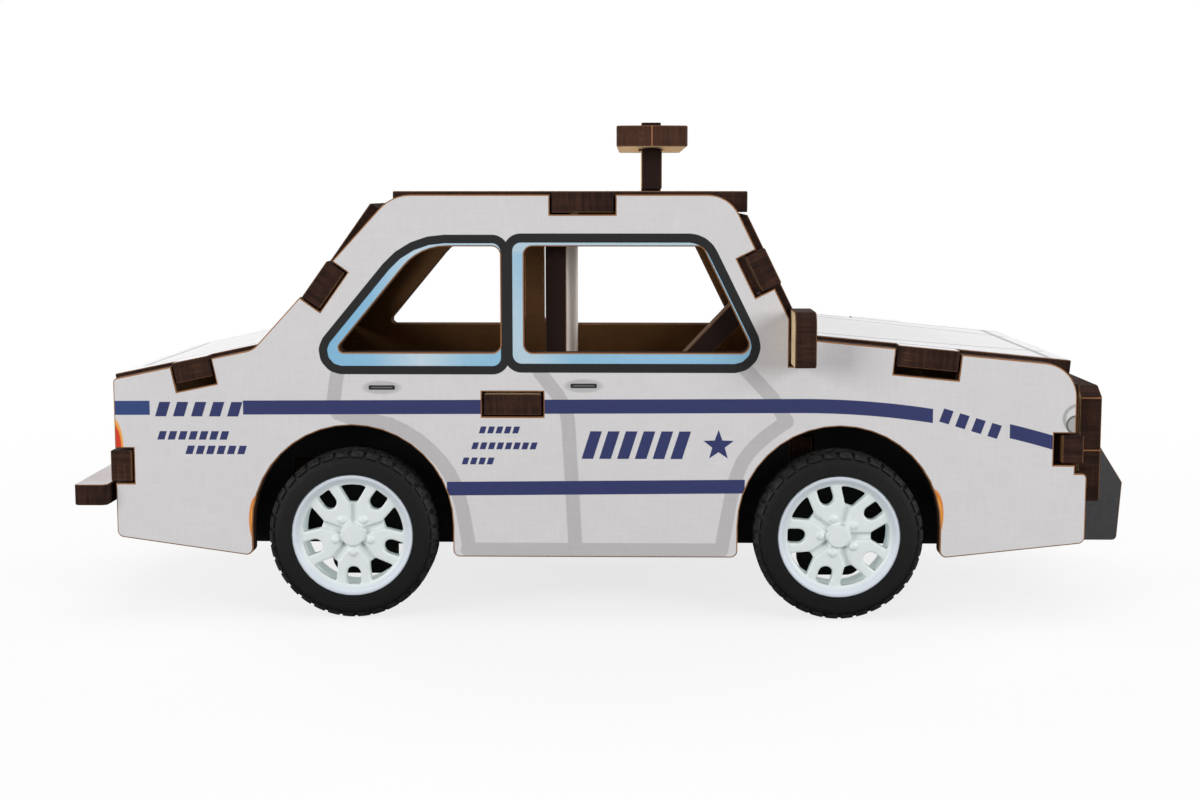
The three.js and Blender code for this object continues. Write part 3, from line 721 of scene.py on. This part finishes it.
def side_print(place, fine):
    x, _, z = axes_of(place)
    flat = place.node("ShaderNodeCombineXYZ", {0: x, 2: z})
    colour = PAPER
    for seam in DOOR_SEAMS:
        mask = stroke(flat, bowed(seam) if len(seam) > 3 else seam).under(1, 0.16)
        colour = place.paint(colour, SEAM, mask)
    blue = place.paint(STRIPE, STRIPE_REAR, x.under(-65.2))
    colour = place.paint(colour, blue, marks(x, z))
    colour = handles(x, z, colour)
    colour = lens(x, z, colour, (-71.2, 24.7), (1.5, 4.4), AMBER, LAMP_RED)
    colour = lens(x, z, colour, (67.2, 29.3), (2.4, 2.2), LAMP_GREY, PAPER)
    colour = lens(x, z, colour, (66.7, 28.4), (1.4, 1.4), LAMP_DARK, LAMP_GREY)
    colour = lens(x, z, colour, (-50.45, 14.2), (1.35, 3.75), AMBER_DEEP, AMBER)
    colour = lens(x, z, colour, (46.7, 15.3), (1.5, 3.8), AMBER_DEEP, AMBER)
    return mottled(place, windows(flat, x, z, colour), fine)


for name in ("right_side_panel", "left_side_panel"):
    dress(name, "printed_ply", (1, 0, 0), side_print, painted_inner_shade, toast=0.85)

# %% [markdown]
# The boards across the top are printed white, in a lighter copy of the paper colour that paints the
# stronger light from above on them. The two glazed frames repeat the blue band and the dark outline of
# the side windows, and the bonnet and boot have faint creases, which a plain grey line can show
# because the boards themselves are flat.

# %% Windscreen and rear window
def glazed(rake, low, high, half):
    up_slope = (math.cos(math.radians(rake)), 0, math.sin(math.radians(rake)))

    def art(place, fine):
        rise = place.dot(up_slope)
        y = axes_of(place)[1]
        edge = abs(rise - (low + high) / 2) - (high - low) / 2
        edge = edge.maths("SMOOTH_MAX", abs(y) - half, 2.6)
        colour = papered(place, fine, PAPER_LIT_TOP_AND_PLATE)
        colour = place.paint(colour, OUTLINE, edge.under(1.9))
        return place.paint(colour, ink(150, 202, 232), edge.under(0.8))

    return art


windscreen_print = glazed(180 - 63.8, 28.85, 39.82, 23.1)
rear_window_print = glazed(54.5, 9.28, 24.67, 22.5)
dress("windscreen_panel", "printed_ply", (0, 1, 0), windscreen_print, painted_inner_shade)
dress("rear_window_panel", "printed_ply", (0, 1, 0), rear_window_print, painted_inner_shade)

# %% Roof, bonnet and boot
def creased(lines, width=0.45):
    def art(place, fine):
        x, y, _ = axes_of(place)
        half = place.node("ShaderNodeCombineXYZ", {0: x, 1: abs(y)})
        colour = papered(place, fine, PAPER_LIT_TOP_AND_PLATE)
        for line in lines:
            colour = place.paint(colour, SEAM, stroke(half, line).under(width, 0.5))
        return colour

    return art


BONNET_LINES = [
    bowed([(30, 20.5, 0), (42, 19.2, 0), (55, 16.4, 0), (65, 13.5, 0)]),
    [(30, 26.4, 0), (66, 25.6, 0)],
    [(63.6, 25.6, 0), (63.6, 0, 0)],
]
BOOT_LINES = [
    bowed([(-48, 22.5, 0), (-56, 22, 0), (-64, 21, 0), (-68.8, 20, 0)]),
    [(-68.8, 20, 0), (-68.8, 0, 0)],
]
ROOF_LINES = [
    [(17, 26, 0), (-28, 25, 0)],
]
dress("bonnet", "printed_ply", (0, 1, 0), creased(BONNET_LINES), painted_inner_shade)
dress("boot_lid", "printed_ply", (0, 1, 0), creased(BOOT_LINES), painted_inner_shade)
dress("roof_panel", "printed_ply", (0, 1, 0), creased(ROOF_LINES, 0.35), painted_inner_shade)

# %% [markdown]
# The boards at the two ends carry the lamps. The photograph shows only their edges, so their print is
# the plainest that such a car has: slats between two round-cornered headlamps in front, and red lamps
# beside a blank plate behind.

# %% Grille and tail
def grille_print(place, fine):
    _, y, z = axes_of(place)
    half = abs(y)
    colour = papered(place, fine)
    frame_edge = bar(half, z, (0, 26), (12.4, 4.9))
    colour = place.paint(colour, OUTLINE, frame_edge.under(0))
    slat = (z / 1.6).maths("FRACT").under(0.45, 0.06)
    colour = place.paint(colour, LAMP_CLEAR, slat * bar(half, z, (0, 26), (11.7, 4.3)).under(0))
    lamp = bar(half, z, (20.6, 26.2), (4.9, 4.1))
    colour = place.paint(colour, OUTLINE, lamp.under(0))
    glow = oval(half, z, (20.6, 26.8), (4.4, 3.6)).under(0.95, 1.1)
    glass = place.paint(LAMP_CLEAR, ink(238, 242, 246), glow)
    colour = place.paint(colour, glass, lamp.under(-0.5))
    signal = bar(half, z, (20.6, 19.6), (4.6, 0.9))
    colour = place.paint(colour, AMBER_DEEP, signal.under(0))
    return place.paint(colour, AMBER, signal.under(-0.35))


def tail_print(place, fine):
    _, y, z = axes_of(place)
    half = abs(y)
    colour = papered(place, fine)
    lamp = bar(half, z, (22.4, 26.3), (5.6, 3))
    colour = place.paint(colour, OUTLINE, lamp.under(0))
    glass = place.paint(LAMP_RED, AMBER, half.under(19.6, 0.2))
    colour = place.paint(colour, glass, lamp.under(-0.45))
    plate = bar(half, z, (0, 24.4), (8, 2.6))
    colour = place.paint(colour, SEAM, plate.under(0))
    return place.paint(colour, PAPER_LIT_TOP_AND_PLATE, plate.under(-0.45))


GRILLE_BURNS = [((0, 0, 1), 31.9), ((0, 0, 1), 24.3)]
dress("grille_plate", "printed_ply", (0, 1, 0), grille_print, burns=GRILLE_BURNS)
dress("nose_panel", "printed_ply", (0, 1, 0), papered, painted_inner_shade)
dress("tail_panel", "printed_ply", (0, 1, 0), tail_print, painted_inner_shade)
dress("rear_bumper", "printed_ply", (0, 1, 0), papered)
dress("mirror_board", "printed_ply", (0, 1, 0), papered)

# %% Light bar, push bars and rails
def light_bar_print(place, fine):
    x, y, _ = axes_of(place)
    colour = papered(place, fine)
    lamp = bar(abs(y), x, (14.6, 6.3), (7.4, 3.9))
    colour = place.paint(colour, OUTLINE, lamp.under(0))
    glass = place.paint(ink(58, 84, 176), LAMP_RED, y.over(0))
    rib = (y / 1.5).maths("FRACT").under(0.2, 0.1) * 0.3
    glass = place.paint(glass, OUTLINE, rib)
    return place.paint(colour, glass, lamp.under(-0.5))


def dark_print(place, fine):
    fleck = place.noise(1.6, 4, 0.7)
    tone = (fleck * 0.8 + fine * 0.5 - 0.2).clip()
    return place.paint(ink(58, 58, 60), ink(80, 80, 82), tone)


# Near black for the chassis rails: painted shade that keeps the wheel arches as dark as deep shade.
def painted_arch_shade(place, fine):
    tone = (place.noise(1.1, 4, 0.7) * 0.8 + fine * 0.4 - 0.2).clip()
    return place.paint(ink(13, 12, 12), ink(30, 28, 28), tone)


dress("light_bar", "printed_ply", (0, 1, 0), light_bar_print, pale=0.5, burns=[((1, 0, 0), 6.3)])
for name in ("push_bar_right", "push_bar_left"):
    dress(name, "dark_ply", (0, 0, 1), dark_print, dark_print)
# Both faces of the rails take the painted shade of the wheel arches.
for name in ("chassis_rail_right", "chassis_rail_left"):
    dress(name, "dark_ply", (1, 0, 0), painted_arch_shade, painted_arch_shade, toast=0.1)

# %% [markdown]
# The tyre is a ring of black rubber with rows of tread blocks that reach over its shoulders. Its
# outline starts as a plane, the outer corners are rounded, and a spin round the axle makes the ring.
# The blocks are then picked by their angle and pushed out. It is modelled once at the origin and
# copied to the four wheels.

# %% Tyre ring
TYRE_STEPS = 136
TYRE_WALL = 3.1 * MM
TYRE_WIDTH = 6.96 * MM
TYRE_MIDDLE = 10.35 * MM
TYRE_CORNER = 1.3 * MM
only()
bpy.ops.mesh.primitive_plane_add(size=1)
tyre = bpy.context.object
tyre.name = "tyre_pattern"
bpy.ops.object.mode_set(mode="EDIT")
bpy.ops.transform.resize(value=(TYRE_WALL, TYRE_WIDTH, 1))
bpy.ops.transform.translate(value=(TYRE_MIDDLE, 0, 0))
bpy.ops.mesh.select_all(action="DESELECT")
bpy.ops.object.mode_set(mode="OBJECT")
for corner in tyre.data.vertices:
    corner.select = corner.co.x > 11 * MM
bpy.ops.object.mode_set(mode="EDIT")
bpy.ops.mesh.select_mode(type="VERT")
bpy.ops.mesh.bevel(offset=TYRE_CORNER, segments=4, affect="VERTICES")
bpy.ops.object.mode_set(mode="OBJECT")
print("the outline has", len(tyre.data.vertices), "corners")

# %% Tread rows and spin
TREAD_LINE = 11.89 * MM
for edge in tyre.data.edges:
    ends = [tyre.data.vertices[index].co for index in edge.vertices]
    edge.select = min(end.x for end in ends) > TREAD_LINE
for face in tyre.data.polygons:
    face.select = False
bpy.ops.object.mode_set(mode="EDIT")
bpy.ops.mesh.select_mode(type="EDGE")
bpy.ops.mesh.subdivide(number_cuts=6)
bpy.ops.mesh.select_all(action="SELECT")
bpy.ops.mesh.delete(type="ONLY_FACE")
bpy.ops.mesh.select_all(action="SELECT")
bpy.ops.mesh.spin(steps=TYRE_STEPS, angle=2 * math.pi, center=(0, 0, 0), axis=(0, 1, 0))
bpy.ops.mesh.select_all(action="SELECT")
bpy.ops.mesh.remove_doubles(threshold=0.01 * MM)
bpy.ops.mesh.normals_make_consistent(inside=False)
bpy.ops.mesh.select_mode(type="FACE")
bpy.ops.mesh.select_all(action="DESELECT")
bpy.ops.object.mode_set(mode="OBJECT")
print("the ring has", len(tyre.data.polygons), "faces")

# %% Tread blocks
SHOULDER = 11.35 * MM
BLOCK_HEIGHT = 0.28 * MM


def is_block(face):
    middle = face.center
    radius = math.hypot(middle.x, middle.z)
    step = math.floor((math.atan2(middle.z, middle.x) / (2 * math.pi) + 1) * TYRE_STEPS) % 4
    off = abs(middle.y) / MM
    if radius < SHOULDER or 0.3 < off < 0.9:
        return False
    if off < 0.3 or off > 1.5:
        return step != (0 if middle.y > 0 else 2)
    return step != (2 if middle.y > 0 else 0)


picked = 0
for face in tyre.data.polygons:
    face.select = is_block(face)
    picked += face.select
bpy.ops.object.mode_set(mode="EDIT")
bpy.ops.mesh.extrude_region_shrink_fatten(TRANSFORM_OT_shrink_fatten={"value": BLOCK_HEIGHT})
bpy.ops.mesh.select_all(action="DESELECT")
bpy.ops.object.mode_set(mode="OBJECT")
bpy.ops.object.shade_smooth_by_angle(angle=math.radians(35))
tread_reach = max(math.hypot(corner.co.x, corner.co.z) for corner in tyre.data.vertices)
print(picked, "faces pushed out to blocks, up to", round(tread_reach / MM, 2), "mm from the axle")

# %% Rubber
AXLES = {"front": 0.033235, "rear": -0.036765}
AXLE_HEIGHT = 0.0122
WHEEL_MIDDLE = 27.3 * MM


def wheel_place(start, axle_x):
    metres = start.node("ShaderNodeTexCoord", output="Object")
    moved = metres.vector("SUBTRACT", (axle_x, 0, AXLE_HEIGHT))
    place = moved.millimetres()
    x, _, z = axes_of(place)
    radius = (x * x + z * z).maths("SQRT")
    return place, radius


def rubber_finish(name, axle_x):
    material, start = new_finish(name)
    place, radius = wheel_place(start, axle_x)
    dust = place.noise(1.2, 5, 0.7)
    pore = place.noise(9, 3, 0.6)
    rings = (radius * 2.4).maths("FRACT").under(0.5, 0.3) * radius.under(10.9, 0.1)
    tone = (dust * 0.9 + rings * 0.12 - 0.32).clip()
    colour = start.paint(ink(9, 9, 9), ink(22, 21, 22), tone)
    worn_tread = radius.over(11.6, 0.5) * dust.over(0.5, 0.25) * 0.6
    colour = start.paint(colour, ink(60, 58, 59), worn_tread)
    speck = place.noise(5, 2).over(0.74, 0.04)
    colour = start.paint(colour, ink(92, 92, 94), speck)
    height = pore * 0.4 + rings * 0.8
    entries = {"Base Color": colour, "Roughness": 0.46 + dust * 0.3, "Normal": height.bump(0.5, 0.05 * MM)}
    entries["Specular IOR Level"] = 0.16
    cover(start, entries)
    return material


for axle, axle_x in AXLES.items():
    rubber = rubber_finish(axle + "_rubber", axle_x)
    for side, y in (("right", -WHEEL_MIDDLE), ("left", WHEEL_MIDDLE)):
        only(tyre)
        bpy.ops.object.duplicate()
        copy = bpy.context.object
        copy.name = f"{axle}_{side}_treaded_tyre"
        bpy.ops.transform.translate(value=(axle_x, y, AXLE_HEIGHT))
        bpy.ops.object.transform_apply(location=True, rotation=False, scale=False)
        copy.data.materials.append(rubber)
        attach(copy, axle + "_wheels")
        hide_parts(f"{axle}_{side}_tyre")
        print(copy.name, "stands on", round(min(corner.co.z for corner in copy.data.vertices) / MM, 2), "mm")
bpy.data.objects.remove(tyre)

# %% [markdown]
# The rims are moulded in white plastic. Their solids already have the paired spokes, the sunk webs and
# the cap. Each copy is dished first: the inner edge of its lip is drawn outwards, so that a slope leads
# down to the spokes. A bevel would stumble over the many small edges at the hub, so a Remesh modifier
# turns the rim into fine even faces, and smoothing those rounds every edge as a mould does. The finish
# paints shade into the recesses and a bluish shade onto the lip. Thin white plastic lets some light
# through, and a faint painted glow inside the barrel stands for that and lightens the barrel's shade.

# %% Moulded rims
RIM_FACE = 30.65 * MM
LIP_EDGE = 8 * MM
LIP_DRAWN = 8.32 * MM
RIM_VOXEL = 0.15 * MM
SMOOTH_ROUNDS = 4
FACES_KEPT = 0.3


def dish(rim, axle_x):
    for corner in rim.data.vertices:
        hub = Vector((axle_x, corner.co.y, AXLE_HEIGHT))
        arm = corner.co - hub
        if abs(corner.co.y) > RIM_FACE - 0.1 * MM and arm.length < LIP_EDGE:
            corner.co = hub + arm * (LIP_DRAWN / arm.length)


def melt(rim):
    fine = rim.modifiers.new("even_faces", "REMESH")
    fine.mode = "VOXEL"
    fine.voxel_size = RIM_VOXEL
    round_off = rim.modifiers.new("rounded_edges", "SMOOTH")
    round_off.factor = 0.5
    round_off.iterations = SMOOTH_ROUNDS
    lighter = rim.modifiers.new("fewer_faces", "DECIMATE")
    lighter.ratio = FACES_KEPT
    for step in (fine, round_off, lighter):
        bpy.ops.object.modifier_apply(modifier=step.name)
    bpy.ops.object.shade_smooth()


def plastic_finish(name, axle_x):
    material, start = new_finish(name)
    place, radius = wheel_place(start, axle_x)
    cloud = place.noise(0.6, 3)
    grit = place.noise(7, 3, 0.6)
    sunk = RIM_FACE / MM - abs(axes_of(place)[1])
    colour = start.paint(ink(206, 213, 212), ink(216, 222, 222), cloud)
    # Painted shade: greyer the deeper a place lies below the rim's face, and a bluish painted shade on the
    # outer lip.
    colour = start.paint(colour, ink(184, 195, 191), ((sunk - 0.8) / 2).clip())
    colour = start.paint(colour, ink(202, 209, 217), radius.over(7.6, 0.5) * sunk.under(0.6, 0.4))
    # Painted glow: emission lights the inside of the barrel, which would lie in shade.
    barrel = sunk.over(1.7, 0.8) * radius.over(7, 0.5) * radius.under(7.9, 0.3)
    painted_barrel_glow = start.paint((0, 0, 0, 1), ink(142, 150, 151), barrel)
    height = cloud + grit * 0.2
    entries = {"Base Color": colour, "Roughness": 0.34 + grit * 0.16, "Normal": height.bump(0.35, 0.03 * MM)}
    entries["Emission Color"] = painted_barrel_glow
    entries["Emission Strength"] = 1
    cover(start, entries)
    return material


for axle, axle_x in AXLES.items():
    plastic = plastic_finish(axle + "_white_plastic", axle_x)
    for side in ("right", "left"):
        rim = copy_of(f"{axle}_{side}_rim", "_moulded")
        dish(rim, axle_x)
        melt(rim)
        rim.data.materials.append(plastic)
        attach(rim, axle + "_wheels")
        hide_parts(f"{axle}_{side}_rim")
        print(rim.name, "has", len(rim.data.polygons), "faces")

# %% [markdown]
# The axles are drawn steel pins, seen only between the rails and the wheels. Their solids are right,
# so they stay, and they get a brushed finish whose fine rings run round the pin as the drawing die
# leaves them.

# %% Steel axles
def steel_finish(name, axle_x):
    material, start = new_finish(name)
    place, _ = wheel_place(start, axle_x)
    x, y, z = axes_of(place)
    rings = place.node("ShaderNodeCombineXYZ", {0: x * 0.2, 1: y * 3, 2: z * 0.2}).noise(2.5, 4, 0.7)
    colour = start.paint(ink(160, 162, 166), ink(202, 204, 208), rings)
    cover(start, {"Base Color": colour, "Metallic": 1, "Roughness": 0.25 + rings * 0.2})
    return material


for axle, axle_x in AXLES.items():
    pin = nodes[axle + "_axle"]
    pin.data.materials.clear()
    pin.data.materials.append(steel_finish(axle + "_steel", axle_x))
    print(pin.name, "is", round(pin.dimensions.y / MM, 1), "mm long")

# %% [markdown]
# Last, nothing is left selected.

# %% Finish
only()
